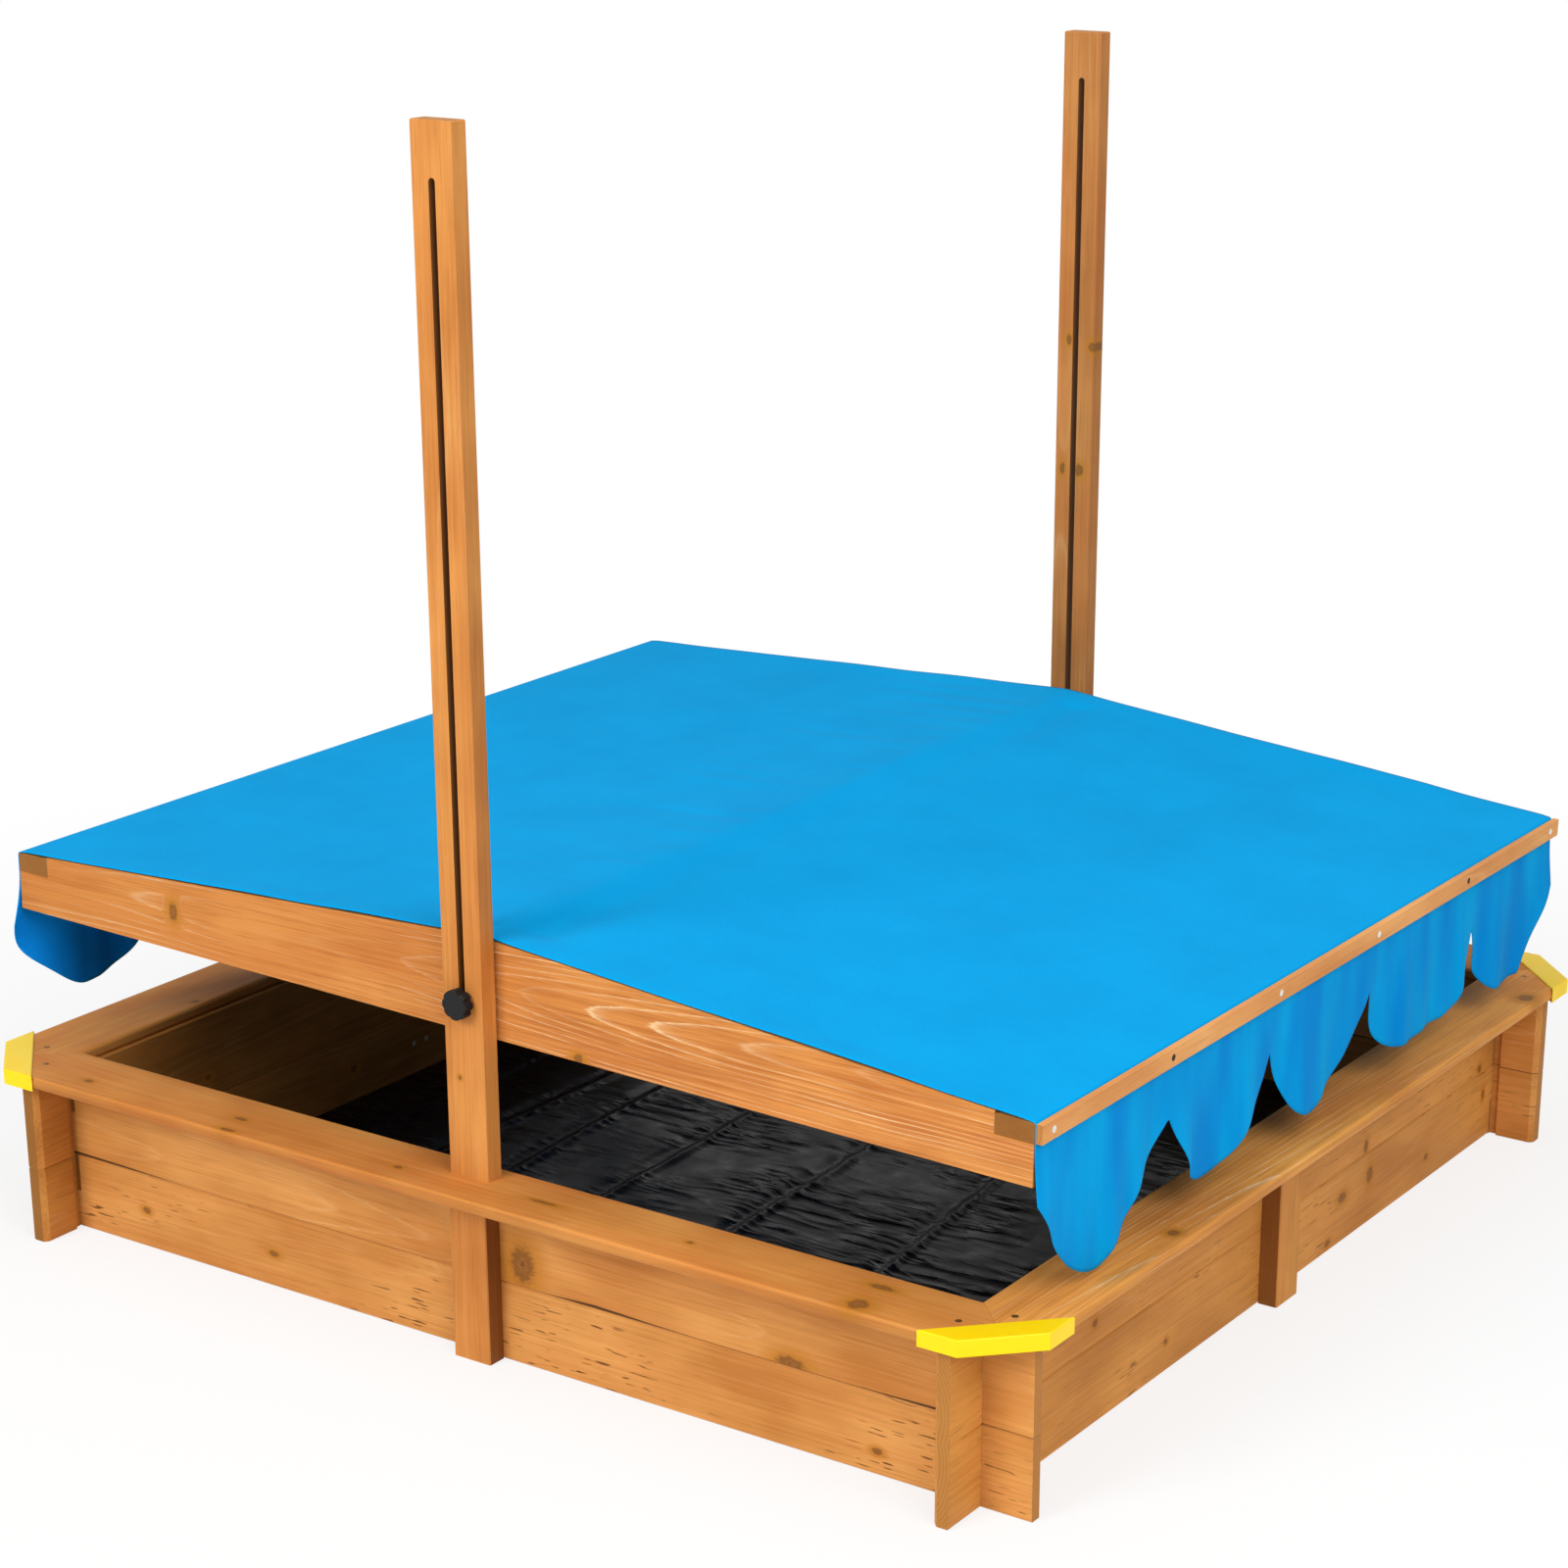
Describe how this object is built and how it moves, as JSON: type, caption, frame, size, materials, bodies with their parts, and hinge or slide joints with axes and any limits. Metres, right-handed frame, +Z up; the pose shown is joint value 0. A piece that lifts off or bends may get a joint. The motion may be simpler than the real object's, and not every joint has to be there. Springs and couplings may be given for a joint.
{
  "type": "sandbox with cover",
  "caption": "Wooden sandbox with bench edge, two slotted masts and a gabled cloth roof that slides up and tilts on clamp bolts.",
  "frame": {"origin": "on the ground, under the middle of the sandbox", "axes": "+Z up; +X along the near wall; +Y along the roof ridge, from the near mast to the far mast"},
  "size_m": [1.2032, 1.1532, 1.105],
  "materials": {
    "stained_wood": "honey stained softwood, matt",
    "yellow_plastic": "smooth moulded plastic",
    "black_plastic": "fine moulded grain",
    "blue_cloth": "plain woven polyester",
    "black_sheeting": "spun ground cover sheeting, slightly glossy",
    "zinc_steel": "zinc plated"
  },
  "bodies": {
    "base": {"near_lower_plank": "stained_wood", "near_upper_plank": "stained_wood", "far_lower_plank": "stained_wood", "far_upper_plank": "stained_wood", "left_lower_plank": "stained_wood", "left_upper_plank": "stained_wood", "right_lower_plank": "stained_wood", "right_upper_plank": "stained_wood", "near_seat_board": "stained_wood", "far_seat_board": "stained_wood", "left_seat_board": "stained_wood", "right_seat_board": "stained_wood", "near_left_corner_cap": "yellow_plastic", "near_right_corner_cap": "yellow_plastic", "far_left_corner_cap": "yellow_plastic", "far_right_corner_cap": "yellow_plastic", "near_mast": "stained_wood", "far_mast": "stained_wood", "near_centre_post": "stained_wood", "far_centre_post": "stained_wood", "left_centre_post": "stained_wood", "right_centre_post": "stained_wood", "ground_sheet": "black_sheeting", "seat_screws": "zinc_steel", "wall_screws": "zinc_steel"},
    "clamp_washers": {"near_knob_washer": "zinc_steel", "near_spacer_washer": "zinc_steel", "far_knob_washer": "zinc_steel", "far_spacer_washer": "zinc_steel"},
    "roof": {"near_gable_rail": "stained_wood", "far_gable_rail": "stained_wood", "left_cross_bar": "stained_wood", "right_cross_bar": "stained_wood", "ridge_bar": "stained_wood", "canopy_cloth": "blue_cloth", "left_valance": "blue_cloth", "right_valance": "blue_cloth", "right_batten": "stained_wood", "near_clamp_bolt": "zinc_steel", "far_clamp_bolt": "zinc_steel", "roof_screws": "zinc_steel", "batten_screws": "zinc_steel"},
    "near_knob": {"near_star_knob": "black_plastic"},
    "far_knob": {"far_star_knob": "black_plastic"}
  },
  "joints": [
    {"name": "roof_height", "type": "slide", "parent": "base", "child": "clamp_washers", "axis": [0, 0, 1], "range_m": [0, 0.705]},
    {"name": "roof_tilt", "type": "hinge", "parent": "clamp_washers", "child": "roof", "pos_m": [0, 0, 0.3465], "axis": [0, 1, 0], "range_deg": [-8, 8], "deforming": ["right_valance", "left_valance"]},
    {"name": "near_knob_turn", "type": "hinge", "parent": "roof", "child": "near_knob", "pos_m": [0, -0.5382, 0.3465], "axis": [0, -1, 0], "continuous": true},
    {"name": "far_knob_turn", "type": "hinge", "parent": "roof", "child": "far_knob", "pos_m": [0, 0.5382, 0.3465], "axis": [0, 1, 0], "continuous": true}
  ]
}
